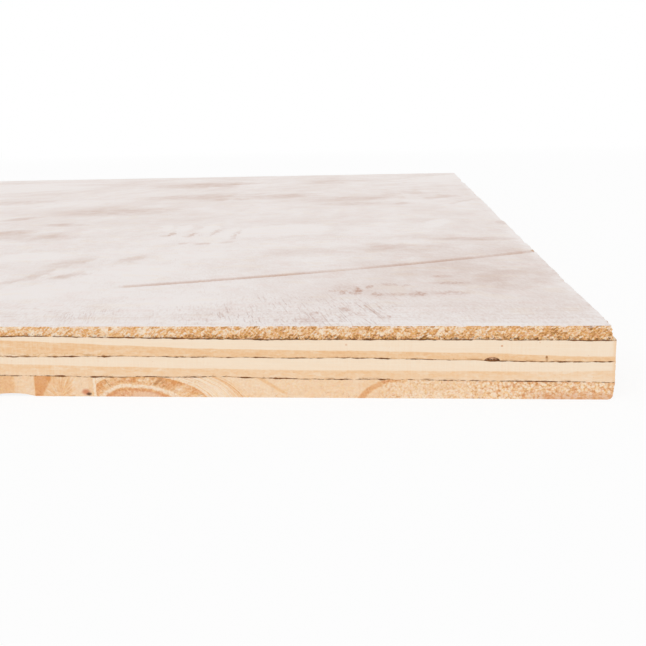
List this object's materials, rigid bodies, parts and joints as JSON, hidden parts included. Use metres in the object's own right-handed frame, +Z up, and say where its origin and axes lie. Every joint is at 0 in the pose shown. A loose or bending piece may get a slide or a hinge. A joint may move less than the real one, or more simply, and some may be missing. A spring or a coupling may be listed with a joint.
{
  "type": "plywood sheet",
  "caption": "Flat four-ply softwood plywood sheet with a whitewashed face, raw sawn edges that show the plies and glue lines, and one worn end.",
  "frame": {"origin": "under the middle of the sheet, on the surface that it lies on", "axes": "+X along the sheet's length towards the worn end, +Y across its width away from the front edge, +Z up through the whitewashed face"},
  "size_m": [1.22, 0.61, 0.012],
  "materials": {
    "whitewashed_veneer": "matt whitewash rubbed thin over pale softwood, tan grain lines showing through",
    "core_veneer": "sawn softwood long grain, cream earlywood fading to tan latewood, matt",
    "raw_veneer": "raw unsanded softwood, open matt grain, speckled end grain on the sawn edge"
  },
  "bodies": {
    "root": {"face_veneer": "whitewashed_veneer", "upper_crossband": "core_veneer", "lower_crossband": "core_veneer", "back_veneer": "raw_veneer"}
  },
  "joints": []
}
